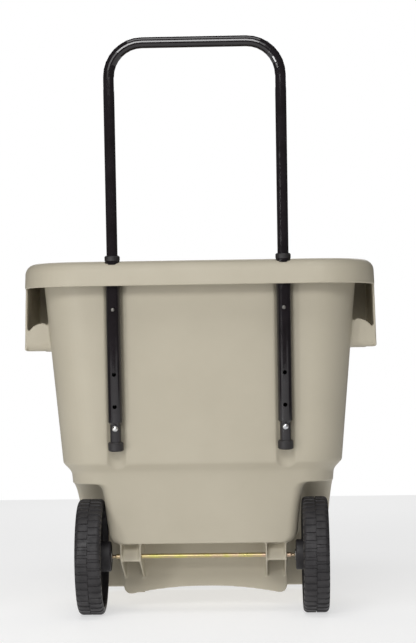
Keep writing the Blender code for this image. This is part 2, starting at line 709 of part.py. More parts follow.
def make_leg_end(slide, word, side, black, steel):
    """The plug that guides a leg in its tube, and the snap button with its hairpin spring."""
    end = along(LEG_END)
    flange = GUIDE_R - GUIDE_WALL - GAP
    stem = TUBE_R - TUBE_WALL - GAP
    low = end - GLIDE_FLANGE
    glide = turned([(0, low), (flange - GLIDE_CHAMFER, low), (flange, low + GLIDE_CHAMFER),
                    (flange, end - GAP), (stem, end - GAP), (stem, end + GLIDE_STEM),
                    (0, end + GLIDE_STEM)])
    make_object("handle_glide_" + word, *glide, black, slide, (side * GROOVE_X, 0, 0))

    height = along(BUTTON_Z)
    press = make_empty("button_press_" + word, slide, (side * GROOVE_X, 0, height))
    tip = -(GUIDE_R + BUTTON_PROUD)
    crown = [(BUTTON_R * cos(a), tip + BUTTON_CROWN * (1 - sin(a)))
             for a in [pi / 2 * n / 4 for n in range(5)]]
    crown[-1] = (0.0, tip)
    brim = BUTTON_R + BUTTON_BRIM
    base = sqrt((TUBE_R - TUBE_WALL) ** 2 - brim ** 2) - 2 * GAP
    button = turned([(0, -BUTTON_BASE), (brim, -BUTTON_BASE), (brim, -base), (BUTTON_R, -base)] + crown,
                    16, "Y")
    make_object("snap_button_" + word, *button, steel, press)

    rear = -(BUTTON_BASE - GAP)
    front = -rear
    outer = arc(0, SPRING_LONG, front, 180, 0, 8)
    inner = arc(0, SPRING_LONG, front - SPRING_T, 0, 180, 8)
    outline = [(rear, -BUTTON_R)] + outer + [(front, SPRING_TAIL), (front - SPRING_T, SPRING_TAIL)]
    outline += inner + [(rear + SPRING_T, -BUTTON_R)]
    leaf = prism([(y, z + height) for y, z in outline], "X", -SPRING_WIDTH / 2, SPRING_WIDTH / 2)
    make_object("snap_spring_" + word, *leaf, steel, slide, (side * GROOVE_X, 0, 0))


# ---- axle and wheels --------------------------------------------------------------------------
def wheel_in():
    """Distance of the tread's inner side from the middle, just clear of the belly."""
    return belly_half(2 * WHEEL_R) + WHEEL_GAP


def hub_face():
    return wheel_in() - HUB_IN


def make_axle(root, material):
    """A rod with a flattened stretch inside each wheel that keeps the washer in place."""
    washer_in = hub_face() - GAP - WASHER_T - GAP
    boss_out = wheel_in() + WHEEL_WIDTH - HUB_SUNK
    end = boss_out + GAP + WASHER_T + GAP + HUBCAP_LENGTH * HUBCAP_GRIP
    mid = washer_in - CRIMP_LENGTH / 2
    tip = 1 - AXLE_CHAMFER / AXLE_R
    right = [(washer_in - CRIMP_LENGTH, 1, 1), (mid - CRIMP_FLAT, CRIMP_TALL, CRIMP_WIDE),
             (mid + CRIMP_FLAT, CRIMP_TALL, CRIMP_WIDE), (washer_in, 1, 1),
             (end - AXLE_CHAMFER, 1, 1), (end, tip, tip)]
    stations = [(-x, t, w) for x, t, w in reversed(right)] + right
    rings = [[(x, AXLE_R * w * cos(2 * pi * k / 16), AXLE_R * t * sin(2 * pi * k / 16))
              for k in range(16)] for x, t, w in stations]
    make_object("axle", *loft(rings), material, root, (0, AXLE_Y, WHEEL_R))


def make_wheel(root, word, side, plastic, steel):
    """One wheel on its spindle with a washer on each side and a cap that holds it on."""
    spin = make_empty("wheel_spin_" + word, root, (0, AXLE_Y, WHEEL_R))
    inside = wheel_in()
    outside = inside + WHEEL_WIDTH
    boss = outside - HUB_SUNK
    bore = AXLE_R + RUNNING
    shoulder = WHEEL_R - WHEEL_SHOULDER
    rim_in = WHEEL_R - RIM_THICK
    outline = [(bore, hub_face()), (HUB_R, hub_face()), (HUB_R, inside + WEB_DISH),
               (rim_in, inside + WEB_DISH), (rim_in + RIM_SLOPE, inside)]
    outline += arc(shoulder, inside + WHEEL_SHOULDER, WHEEL_SHOULDER, -90, 0, 3)
    outline += arc(shoulder, outside - WHEEL_SHOULDER, WHEEL_SHOULDER, 0, 90, 3)
    outline += [(rim_in + RIM_SLOPE, outside), (rim_in, outside - WEB_DISH_OUT),
                (HUB_R, outside - WEB_DISH_OUT), (HUB_R, boss), (bore, boss)]
    wheel = turned([(r, side * x) for r, x in outline], 48, "X")
    make_object("wheel_" + word, *wheel, plastic, spin)

    def washer(name, at):
        ends = sorted((side * at, side * (at + WASHER_T)))
        rim = [(bore, ends[0]), (WASHER_R, ends[0]), (WASHER_R, ends[1]), (bore, ends[1])]
        make_object(name + word, *turned(rim, 20, "X"), steel, root, (0, AXLE_Y, WHEEL_R))

    washer("inner_washer_", hub_face() - GAP - WASHER_T)
    washer("outer_washer_", boss + GAP)
    low = boss + GAP + WASHER_T + GAP
    floor = low + HUBCAP_LENGTH * HUBCAP_GRIP + GAP
    high = low + HUBCAP_LENGTH
    cap = [(bore, low), (HUBCAP_R, low), (HUBCAP_R, high - HUBCAP_ROUND)]
    cap += arc(HUBCAP_R - HUBCAP_ROUND, high - HUBCAP_ROUND, HUBCAP_ROUND, 30, 90, 2)
    cap += [(0, high), (0, floor), (bore, floor)]
    make_object("axle_cap_" + word, *turned([(r, side * x) for r, x in cap], 20, "X"), steel, root,
                (0, AXLE_Y, WHEEL_R))


def build():
    clear_scene()
    resin = make_material("tan_resin", (0.47, 0.43, 0.34), 0.55)
    handle_steel = make_material("black_painted_steel", (0.012, 0.011, 0.012), 0.25)
    black_plastic = make_material("black_plastic", (0.02, 0.02, 0.02), 0.5)
    wheel_plastic = make_material("wheel_plastic", (0.03, 0.03, 0.032), 0.55)
    zinc = make_material("yellow_zinc", (0.62, 0.52, 0.22), 0.35, 1.0)
    bright = make_material("bright_zinc", (0.6, 0.6, 0.62), 0.3, 1.0)

    handle_back = leg_y(HANDLE_TOP - TUBE_R) + TUBE_R
    rim_front = HALF_DEPTH + wall_out(RIM_TOP - WALL) + RIM_HANG
    root = make_empty("cart", location=(0, (handle_back - rim_front) / 2, 0))
    make_tub(root, resin)
    slide = make_handle(root, handle_steel)
    make_axle(root, zinc)
    for word, side in (("left", -1), ("right", 1)):
        make_guide(root, word, side, handle_steel, black_plastic)
        make_leg_end(slide, word, side, black_plastic, bright)
        make_wheel(root, word, side, wheel_plastic, bright)


build()
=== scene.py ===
"""The looks of the two-wheeled resin yard cart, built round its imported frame.

Metres, +Z up.  The camera stands behind the cart, on the side of the handle and the wheels.
"""
import json
from math import acos, asin, cos, pi, radians, sin, sqrt, tan

import bmesh
import bpy
from mathutils import Euler, Matrix, Vector


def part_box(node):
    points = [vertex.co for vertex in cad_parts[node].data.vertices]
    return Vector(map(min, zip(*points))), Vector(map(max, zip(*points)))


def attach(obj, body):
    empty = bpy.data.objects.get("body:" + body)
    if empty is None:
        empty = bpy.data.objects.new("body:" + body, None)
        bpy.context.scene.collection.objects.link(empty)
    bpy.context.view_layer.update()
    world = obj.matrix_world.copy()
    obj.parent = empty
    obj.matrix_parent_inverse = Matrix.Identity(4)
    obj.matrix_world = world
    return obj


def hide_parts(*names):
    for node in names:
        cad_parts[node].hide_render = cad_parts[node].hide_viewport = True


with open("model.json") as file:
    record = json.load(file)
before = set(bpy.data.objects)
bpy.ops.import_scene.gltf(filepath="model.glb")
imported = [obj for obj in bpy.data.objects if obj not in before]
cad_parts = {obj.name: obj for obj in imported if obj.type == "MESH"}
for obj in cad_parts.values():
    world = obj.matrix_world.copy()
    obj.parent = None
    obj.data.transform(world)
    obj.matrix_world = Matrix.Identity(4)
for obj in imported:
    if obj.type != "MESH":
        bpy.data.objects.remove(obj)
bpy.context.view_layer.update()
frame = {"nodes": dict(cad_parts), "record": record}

# ---- sizes read from the frame ----------------------------------------------------------------
TUB_LOW, TUB_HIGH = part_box("tub")
SHIFT = (TUB_LOW.y + TUB_HIGH.y) / 2     # the rim's middle, from which depths are counted
RIM_TOP = TUB_HIGH.z
WHEEL_LOW, WHEEL_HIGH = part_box("wheel_right")
WHEEL_R = (WHEEL_HIGH.z - WHEEL_LOW.z) / 2
AXLE_LOW, AXLE_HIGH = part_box("axle")
AXLE_Y = (AXLE_LOW.y + AXLE_HIGH.y) / 2 - SHIFT
COLLAR_LOW, COLLAR_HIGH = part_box("guide_collar_right")
GROOVE_X = (COLLAR_LOW.x + COLLAR_HIGH.x) / 2

# ---- tub --------------------------------------------------------------------------------------
WALL = 0.004
LEAN = radians(4.9)
DRAFT = tan(LEAN)
REF_Z = RIM_TOP - 0.0185
HALF_WIDTH = GROOVE_X + 0.1286
HALF_DEPTH = 0.2520
UPPER_CORNER = 0.072
STEP = 0.0132            # the lower body is this much smaller all round
STEP_LIFT = 0.41
RIM_HANG = 0.031
RIM_BAND = 0.0435
RIM_FLARE = 0.001
RIM_ROUND = 0.019
RIM_LAP = 0.016          # how far the rim's plate reaches in from the wall's outside
BAND_EDGE = 0.001        # bevel on the band's lower edge
GROOVE_R = 0.020
LEG_OUT = 0.0115
GROOVE_TOP = 0.012
GROOVE_RUN_OUT = 0.003
GROOVE_FLAT = 0.8        # share of its radius that a groove's points spread over where it has run out

WELL_TOP = 2 * WHEEL_R + 0.0278
WELL_CROWN = 0.020
WELL_FILLET = 0.017
WELL_CORNER = 0.012
WELL_EDGE = 0.011
WELL_ARC = range(22, 60, 4)   # degrees up the well's arch that have a ring
STEP_Z = WELL_TOP + 0.0285
STEP_LINE = 0.0075       # the step's straight slope starts this far under its middle
STEP_RISE = 0.0152       # and would climb the whole step over this height
STEP_SOFT_LOW = 0.34     # share of the step over which its lower bend is rounded
STEP_SOFT_HIGH = 0.12    # and the same for its upper bend
STEP_RINGS = 20
STEP_SPACING = 0.0015
STEP_START = 0.0135      # the first ring is this far under the step's middle
BELLY_BOTTOM = WHEEL_R + 0.0234
BELLY_ROUND = 0.018
BELLY_HALF = HALF_WIDTH - 0.1277
BELLY_DRAFT = 0.114
BELLY_CORNER = 0.018
BELLY_LEAD = 0.003       # a ring this far under the belly keeps its lower round apart
PANEL_Y = AXLE_Y + 0.085
PANEL_ARCH = 0.038
PANEL_LOBE = 0.0245
PANEL_ROUND = 0.014
SKIRT_ABOVE = 0.012
ROOF_GAP = 0.0003        # keeps the tunnel's roof off the belly's own face
FLOOR_TAPER = 0.004
FLOOR_TAPER_TALL = 0.006
FLOOR_Z = 0.0075
SLOPE_END = HALF_DEPTH - 0.082
SLOPE_LOW = FLOOR_Z + 0.002
FOOT_X = BELLY_HALF - 0.013
FOOT_Y = HALF_DEPTH - 0.0955
FOOT_WIDE = 0.022
FOOT_LONG = 0.043
FOOT_CHAMFER = 0.002

BRACKET_HALF = 0.0185
BRACKET_X = BELLY_HALF - 0.020
BRACKET_REAR = AXLE_Y - 0.018
BRACKET_LOW = WHEEL_R - 0.0086
BRACKET_TIP = WHEEL_R - 0.0476
BRACKET_WALL = 0.0035
PLATE_RUN = 0.0195
PLATE_T = 0.0035

EAR_HALF = HALF_DEPTH - 0.069
EAR_BOTTOM = RIM_TOP - 0.1525
EAR_FLARE = 0.0028
EAR_WALL = 0.0038
EAR_LIP = 0.0145
EAR_END = 0.062
EAR_ARCH = 0.034
EAR_RIB = 0.0035
EAR_SET = 0.0006
EAR_LAP = 0.006
EAR_ROUND = 0.0032       # the ear's lower edge is turned in with this radius
EAR_TURN = 70            # over this many degrees
EAR_INSIDE = 0.006       # height of the straight stretch inside that edge
EAR_LIP_ABOVE = 0.003
EAR_ARCH_ABOVE = 0.0015
EAR_ARCH_SHOULDER = 0.88   # share of the arch's height at which it meets the wall
EAR_ARCH_CROWN = 0.30    # share of the ear's width at which the arch is highest
EAR_RIB_ABOVE = 0.014
EAR_RIB_COVER = 0.7      # share of the wall that is left over the rib's top

AXLE_HOLE_R = 0.0043
GUIDE_HOLE_R = 0.0130
BOLT_HOLE_R = 0.0033
PAD_R = 0.006
PAD_START = 0.0101
BOLT_Z = RIM_TOP - 0.288

VOXEL = 0.0020
SMOOTH_FACTOR = 0.5
SMOOTH_ROUNDS = 3
MOST_FACES = 170_000
SINK = 0.0002            # keeps faces that meet from lying in one plane
FAR = 0.6                # beyond the cart to the sides, behind and below
PAST = 0.03              # how far a cut runs past what it cuts
CORNER_STEPS = 14
GROOVE_STEPS = 16
SIDE_STEPS = 9


# ---- materials --------------------------------------------------------------------------------
def node(tree, kind, x, **values):
    made = tree.nodes.new(kind)
    made.location = (x, 0)
    for name, value in values.items():
        if hasattr(made, name):
            setattr(made, name, value)
        else:
            made.inputs[name.replace("_", " ")].default_value = value
    return made


def noise(tree, where, scale, detail=3.0, roughness=0.55):
    made = node(tree, "ShaderNodeTexNoise", -900, Scale=scale, Detail=detail, Roughness=roughness)
    tree.links.new(where, made.inputs["Vector"])
    return made.outputs["Fac"]


def spread(tree, fac, low, high, start=0.3, end=0.7):
    """Turns a noise value into one between low and high."""
    made = node(tree, "ShaderNodeMapRange", -650)
    for name, value in (("From Min", start), ("From Max", end), ("To Min", low), ("To Max", high)):
        made.inputs[name].default_value = value
    tree.links.new(fac, made.inputs["Value"])
    return made.outputs["Result"]


def tint(tree, fac, first, second):
    """Turns a value from 0 to 1 into a colour between two."""
    made = node(tree, "ShaderNodeValToRGB", -500)
    made.color_ramp.elements[0].color = (*first, 1.0)
    made.color_ramp.elements[1].color = (*second, 1.0)
    tree.links.new(fac, made.inputs["Fac"])
    return made.outputs["Color"]


def bump(tree, height, distance, strength, before=None):
    """A bump on top of the one before it, if there is one."""
    made = node(tree, "ShaderNodeBump", -250, Distance=distance, Strength=strength)
    tree.links.new(height, made.inputs["Height"])
    if before is not None:
        tree.links.new(before, made.inputs["Normal"])
    return made.outputs["Normal"]


def start_material(name, metallic=0.0, specular=0.5):
    made = bpy.data.materials.new(name)
    made.use_nodes = True
    tree = made.node_tree
    shader = tree.nodes["Principled BSDF"]
    shader.inputs["Metallic"].default_value = metallic
    shader.inputs["Specular IOR Level"].default_value = specular
    where = node(tree, "ShaderNodeTexCoord", -1150).outputs["Object"]
    return made, tree, shader, where


def moulded_resin():
    """Satin tan polyethylene: faint flow marks in the colour, fine spark-eroded grain."""
    made, tree, shader, where = start_material("tan_resin_looks", specular=0.35)
    clouds = spread(tree, noise(tree, where, 7.0, 4.0), 0.0, 1.0)
    colour = tint(tree, clouds, RESIN_DARK, RESIN_LIGHT)
    tree.links.new(colour, shader.inputs["Base Color"])
    rough = spread(tree, noise(tree, where, 60.0), 0.46, 0.58)
    tree.links.new(rough, shader.inputs["Roughness"])
    waves = bump(tree, noise(tree, where, 16.0, 2.0), 0.0012, 0.12)
    grain = bump(tree, noise(tree, where, 1400.0, 2.0), 0.00010, 0.35, waves)
    tree.links.new(grain, shader.inputs["Normal"])
    return made


def enamel():
    """Gloss black stove enamel with a little orange peel and dust."""
    made, tree, shader, where = start_material("black_enamel_looks")
    colour = tint(tree, spread(tree, noise(tree, where, 35.0), 0.0, 1.0), (0.010, 0.008, 0.009),
                  (0.016, 0.013, 0.015))
    tree.links.new(colour, shader.inputs["Base Color"])
    rough = spread(tree, noise(tree, where, 90.0), 0.05, 0.10)
    tree.links.new(rough, shader.inputs["Roughness"])
    peel = bump(tree, noise(tree, where, 420.0, 1.0), 0.00005, 0.12)
    tree.links.new(peel, shader.inputs["Normal"])
    return made


def black_plastic():
    """Black moulded plastic with a fine grain: caps, collars and plugs."""
    made, tree, shader, where = start_material("black_plastic_looks")
    colour = tint(tree, spread(tree, noise(tree, where, 50.0), 0.0, 1.0), (0.014, 0.012, 0.013),
                  (0.022, 0.019, 0.020))
    tree.links.new(colour, shader.inputs["Base Color"])
    rough = spread(tree, noise(tree, where, 120.0), 0.42, 0.58)
    tree.links.new(rough, shader.inputs["Roughness"])
    grain = bump(tree, noise(tree, where, 1600.0, 2.0), 0.00008, 0.4)
    tree.links.new(grain, shader.inputs["Normal"])
    return made


def wheel_plastic():
    """Matt black polyethylene, greyed by handling in patches."""
    made, tree, shader, where = start_material("wheel_plastic_looks", specular=0.4)
    dust = spread(tree, noise(tree, where, 28.0, 5.0, 0.65), 0.0, 1.0, 0.35, 0.75)
    colour = tint(tree, dust, (0.017, 0.0155, 0.017), (0.036, 0.033, 0.035))
    tree.links.new(colour, shader.inputs["Base Color"])
    rough = spread(tree, noise(tree, where, 70.0), 0.42, 0.66)
    tree.links.new(rough, shader.inputs["Roughness"])
    scuffs = bump(tree, noise(tree, where, 150.0, 4.0), 0.0003, 0.25)
    grain = bump(tree, noise(tree, where, 1500.0, 2.0), 0.00010, 0.4, scuffs)
    tree.links.new(grain, shader.inputs["Normal"])
    return made


def plated(name, first, second, low, high, stretch):
    """Zinc plate over drawn steel: a cloudy colour and fine lines along the drawing direction."""
    made, tree, shader, where = start_material(name, metallic=1.0)
    colour = tint(tree, spread(tree, noise(tree, where, 45.0, 3.0), 0.0, 1.0, 0.35, 0.65), first, second)
    tree.links.new(colour, shader.inputs["Base Color"])
    rough = spread(tree, noise(tree, where, 160.0), low, high)
    tree.links.new(rough, shader.inputs["Roughness"])
    lines = node(tree, "ShaderNodeMapping", -1050)
    lines.inputs["Scale"].default_value = stretch
    tree.links.new(where, lines.inputs["Vector"])
    drawn = bump(tree, noise(tree, lines.outputs["Vector"], 900.0, 2.0), 0.00006, 0.3)
    tree.links.new(drawn, shader.inputs["Normal"])
    return made


RESIN_LIGHT = (0.490, 0.447, 0.352)
RESIN_DARK = (0.455, 0.413, 0.322)
LOOKS = {
    "tan_resin": moulded_resin(),
    "black_painted_steel": enamel(),
    "black_plastic": black_plastic(),
    "wheel_plastic": wheel_plastic(),
    "yellow_zinc": plated("yellow_zinc_looks", (0.50, 0.46, 0.16), (0.52, 0.38, 0.27), 0.26, 0.40,
                          (0.04, 1.0, 1.0)),
    "bright_zinc": plated("bright_zinc_looks", (0.56, 0.57, 0.60), (0.66, 0.65, 0.62), 0.22, 0.36,
                          (1.0, 1.0, 0.2)),
}
DULL_ZINC = plated("dull_zinc_looks", (0.16, 0.155, 0.15), (0.24, 0.23, 0.21), 0.36, 0.5, (1.0, 1.0, 0.2))
DULL_NODES = ("snap_button_", "inner_washer_")


# ---- mesh helpers -----------------------------------------------------------------------------
def make_object(name, verts, faces, material=None, smooth_angle=32):
    mesh = bpy.data.meshes.new(name)
    mesh.from_pydata([tuple(v) for v in verts], [], faces)
    shape = bmesh.new()
    shape.from_mesh(mesh)
    bmesh.ops.recalc_face_normals(shape, faces=shape.faces)
    shape.to_mesh(mesh)
    shape.free()
    mesh.shade_smooth()
    mesh.set_sharp_from_angle(angle=radians(smooth_angle))
    if material:
        mesh.materials.append(material)
    made = bpy.data.objects.new(name, mesh)
    bpy.context.scene.collection.objects.link(made)
    return made


def settle(piece):
    """Applies a piece's modifiers."""
    shaped = piece.evaluated_get(bpy.context.evaluated_depsgraph_get())
    mesh = bpy.data.meshes.new_from_object(shaped)
    piece.modifiers.clear()
    old = piece.data
    piece.data = mesh
    bpy.data.meshes.remove(old)


def combine(target, tools, operation):
    """Joins solids to target or cuts them away, and removes them."""
    for tool in tools:
        step = target.modifiers.new("step", "BOOLEAN")
        step.operation = operation
        step.solver = "MANIFOLD"
        step.object = tool
    settle(target)
    for tool in tools:
        bpy.data.objects.remove(tool, do_unlink=True)


def loft(rings, closed=False):
    """Faces through rings of equal counts.  Points that coincide are shared."""
    verts, index, rows = [], {}, []
    for ring in rings:
        row = []
        for point in ring:
            key = tuple(round(c, 7) for c in point)
            if key not in index:
                index[key] = len(verts)
                verts.append(Vector(point))
            row.append(index[key])
        rows.append(row)
    faces = []
    pairs = list(zip(rows, rows[1:]))
    if closed:
        pairs.append((rows[-1], rows[0]))
    for low, high in pairs:
        for i in range(len(low)):
            j = (i + 1) % len(low)
            around = [low[i], low[j], high[j], high[i]]
            face = [v for n, v in enumerate(around) if v != around[n - 1]]
            if len(set(face)) > 2:
                faces.append(face)
    if not closed:
        faces.append(list(reversed(rows[0])))
        faces.append(rows[-1])
    return verts, faces


def turned(profile, sides=48, axis="Z"):
    """Spins a closed outline of (radius, height) points.  A point at radius 0 closes the middle."""
    rings = []
    for k in range(sides):
        a = 2 * pi * k / sides
        if axis == "Z":
            rings.append([(r * cos(a), r * sin(a), h) for r, h in profile])
        elif axis == "X":
            rings.append([(h, r * cos(a), r * sin(a)) for r, h in profile])
        else:
            rings.append([(r * cos(a), h, r * sin(a)) for r, h in profile])
    return loft(rings, closed=True)


def bar(radius, low, high):
    """Outline of a solid rod, for turned."""
    return [(0, low), (radius, low), (radius, high), (0, high)]


def prism(outline, axis, low, high):
    """Runs an outline along X or Y from low to high."""
    if axis == "X":
        rings = [[(level, a, b) for a, b in outline] for level in (low, high)]
    else:
        rings = [[(a, level, b) for a, b in outline] for level in (low, high)]
    return loft(rings)


def arc(cx, cy, radius, start, end, steps):
    """Points round a centre, from one angle to another in degrees."""
    turns = [radians(start + (end - start) * n / steps) for n in range(steps + 1)]
    return [(cx + radius * cos(a), cy + radius * sin(a)) for a in turns]


def between(a, b, count):
    """Points on the way from a to b, without a and with b."""
    return [(a[0] + (b[0] - a[0]) * n / count, a[1] + (b[1] - a[1]) * n / count)
            for n in range(1, count + 1)]


# ---- tub --------------------------------------------------------------------------------------
def soft_max(a, b, width):
    """The larger of two values, rounded where they are within width of each other."""
    near = max(width - abs(a - b), 0.0) / width
    return max(a, b) + near * near * width / 4


def step_share(z):
    """How much of the step has been climbed at height z, from 0 to 1."""
    line = (z - STEP_Z + STEP_LINE) / STEP_RISE
    risen = soft_max(0.0, line, STEP_SOFT_LOW)
    return -soft_max(-1.0, -risen, STEP_SOFT_HIGH)


def wall_out(z, lift=0.0):
    """How far the wall stands out at height z, against its place at REF_Z."""
    return (z - REF_Z) * DRAFT - STEP * (1.0 - step_share(z - lift))


def leg_y(z):
    """Distance of a handle leg's axis behind the rim's middle at height z."""
    return HALF_DEPTH + (z - REF_Z) * DRAFT + LEG_OUT


def well_front(z, inset):
    """Front edge of the wheel well at height z: an arch round the axle."""
    radius = WELL_TOP - WHEEL_R + inset
    up = max(0.0, z - WHEEL_R)
    return AXLE_Y + sqrt(max(radius * radius - up * up, WELL_CROWN * WELL_CROWN))


def half_plan(z, inset=0.0, grow=0.0, groove=False, well=None, rear_end=None):
    """Right half of the outline at height z, from the middle of the rear wall to that of the front."""
    lift = STEP_LIFT * inset
    out = wall_out(z, lift) - inset + grow
    half_x, half_y = HALF_WIDTH + out, HALF_DEPTH + out
    corner = UPPER_CORNER - STEP * (1.0 - step_share(z - lift)) - inset + grow
    front_edge = well_front(z, inset)
    edge_round = WELL_EDGE - inset

    reach = GROOVE_R + inset
    offset = leg_y(z) - half_y
    if groove and offset < reach:
        open_angle = acos(offset / reach)
        chord = reach * sin(open_angle)
        hollow = [(GROOVE_X + reach * sin(a), -leg_y(z) + reach * cos(a))
                  for a in [open_angle * (2 * n / GROOVE_STEPS - 1) for n in range(GROOVE_STEPS + 1)]]
    else:
        chord = GROOVE_R * GROOVE_FLAT
        hollow = [(GROOVE_X + chord * (2 * n / GROOVE_STEPS - 1), -half_y)
                  for n in range(GROOVE_STEPS + 1)]
    points = [(0.0, -half_y), ((GROOVE_X - chord) / 2, -half_y)] + hollow
    last = points[-1][0]
    if well is not None:
        rear_end = well - (BELLY_CORNER - inset)
    if rear_end is not None:
        squeeze = min(1.0, rear_end / (last + WALL))
        points = [(x * squeeze, y) for x, y in points]

    if well is not None:
        bend = BELLY_CORNER - inset
        inner = WELL_CORNER + inset
        points += arc(well - bend, -half_y + bend, bend, -90, 0, steps=8)
        points += between((well, -half_y + bend), (well, front_edge - inner), count=4)[:-1]
        points += arc(well + inner, front_edge - inner, inner, 180, 90, steps=6)
        points += between((well + inner, front_edge), (half_x - edge_round, front_edge), count=2)[:-1]
        points += arc(half_x - edge_round, front_edge + edge_round, edge_round, -90, 0, steps=4)
    else:
        start = rear_end if rear_end is not None else (points[-1][0] + half_x - corner) / 2
        points += [(start, -half_y)]
        points += arc(half_x - corner, -half_y + corner, corner, -90, 0, CORNER_STEPS)
        points += between((half_x, -half_y + corner), (half_x, front_edge + edge_round), SIDE_STEPS)
    points += between((half_x, front_edge + edge_round), (half_x, half_y - corner), count=3)[:-1]
    points += arc(half_x - corner, half_y - corner, corner, 0, 90, CORNER_STEPS)
    points += [((half_x - corner) / 2, half_y), (0.0, half_y)]
    return points


def whole(right, z):
    """The right half of an outline with its mirror image, at height z."""
    left = [(-x, y) for x, y in reversed(right[1:-1])]
    return [(x, y, z) for x, y in right + left]


def ring(z, **how):
    return whole(half_plan(z, **how), z)


def belly_half(z):
    return BELLY_HALF + BELLY_ROUND + (z - BELLY_BOTTOM - BELLY_ROUND) * BELLY_DRAFT


def envelope(inset, top, floor):
    """The body without its rim: the outside for inset 0, and the cavity for inset WALL."""
    round_low = BELLY_ROUND - inset
    round_low_z = BELLY_BOTTOM + BELLY_ROUND
    fillet = WELL_FILLET + inset
    fillet_z = WELL_TOP - WELL_FILLET
    fillet_x = belly_half(fillet_z) + WELL_FILLET
    belly = BELLY_HALF - inset
    rings = [ring(floor, inset=inset + FLOOR_TAPER, well=belly),
             ring(floor + FLOOR_TAPER_TALL, inset=inset, well=belly),
             ring(WHEEL_R, inset=inset, well=belly),
             ring(BELLY_BOTTOM + inset - BELLY_LEAD, inset=inset, well=belly)]
    for a in range(90, -1, -10):
        rings.append(ring(round_low_z - round_low * sin(radians(a)), inset=inset,
                          well=BELLY_HALF + round_low * cos(radians(a))))
    for a in WELL_ARC:
        z = WHEEL_R + (WELL_TOP - WHEEL_R) * sin(radians(a))
        rings.append(ring(z, inset=inset, well=belly_half(z) - inset))
    for a in range(0, 91, 10):
        rings.append(ring(fillet_z + fillet * sin(radians(a)), inset=inset,
                          well=fillet_x - fillet * cos(radians(a))))
    rings.append(ring(WELL_TOP + inset, inset=inset, rear_end=fillet_x - (BELLY_CORNER - inset)))
    lift = STEP_LIFT * inset
    for n in range(STEP_RINGS):
        rings.append(ring(STEP_Z - STEP_START + STEP_SPACING * n + lift, inset=inset, groove=True))
    if inset:
        rings.append(ring(top, inset=inset, groove=True))
    else:
        rings.append(ring(RIM_TOP - GROOVE_TOP - GROOVE_RUN_OUT, groove=True))
        rings.append(ring(RIM_TOP - GROOVE_TOP))
        rings.append(ring(top))
    return loft(rings)


def rim_ring():
    """The flat rim and the band that hangs from its edge."""
    plate = RIM_TOP - WALL
    outer = RIM_HANG - RIM_FLARE
    low = RIM_TOP - RIM_BAND
    section = [(-RIM_LAP, plate), (-RIM_LAP, RIM_TOP)]
    section += arc(outer - RIM_ROUND, RIM_TOP - RIM_ROUND, RIM_ROUND, 90, 0, steps=12)
    section += [(RIM_HANG, low + BAND_EDGE), (RIM_HANG - BAND_EDGE, low), (RIM_HANG - WALL, low)]
    section += arc(outer - RIM_ROUND, RIM_TOP - RIM_ROUND, RIM_ROUND - WALL, 0, 90, steps=8)
    return loft([whole(half_plan(plate, grow=out), z) for out, z in section], closed=True)


def underside_cuts(inset):
    """The tunnel under the belly, and the slope by which the floor's underside rises to the rear."""
    roof = BELLY_BOTTOM + inset + ROOF_GAP
    tunnel = prism([(-FAR, -FAR), (PANEL_Y + inset, -FAR), (PANEL_Y + inset, roof), (-FAR, roof)],
                   "X", -FAR, FAR)
    rise = (PANEL_ARCH - SLOPE_LOW) / (SLOPE_END - PANEL_Y)
    low = SLOPE_LOW + inset * sqrt(1 + rise * rise)
    end = SLOPE_END + inset
    slope = prism([(-FAR, -FAR), (end, -FAR), (end, low), (-FAR, low + (end + FAR) * rise)],
                  "X", -FAR, FAR)
    return [make_object("cut", *tunnel), make_object("cut", *slope)]


def panel_skirt():
    """Rear lower edge of the box under the belly: an arch between two round lobes."""
    reach = BELLY_HALF - PANEL_ROUND
    dip = PANEL_ARCH - PANEL_LOBE
    radius = (reach * reach + dip * dip) / (2 * dip)
    swing = asin(reach / radius)
    arch = [(radius * sin(a), PANEL_ARCH - radius + radius * cos(a))
            for a in [swing * (1 - n / 20) for n in range(41)]]
    right = arc(reach - SINK, PANEL_LOBE + PANEL_ROUND, PANEL_ROUND, 0, -90, steps=10)[:-1]
    right.insert(0, (BELLY_HALF - SINK, PANEL_ARCH + SKIRT_ABOVE))
    left = [(-x, z) for x, z in reversed(right)]
    return prism(right + arch + left, "Y", PANEL_Y + SINK, PANEL_Y + WALL)


def foot_solid(side):
    """One of the two feet that the cart rests on in front."""
    near, far = FOOT_Y - FOOT_LONG / 2, FOOT_Y + FOOT_LONG / 2
    top = FLOOR_Z + 2 * WALL
    cut = FOOT_CHAMFER
    outline = [(near, top), (near, cut), (near + cut, 0.0), (far - cut, 0.0), (far, cut), (far, top)]
    middle = side * FOOT_X
    return prism(outline, "X", middle - FOOT_WIDE / 2, middle + FOOT_WIDE / 2)


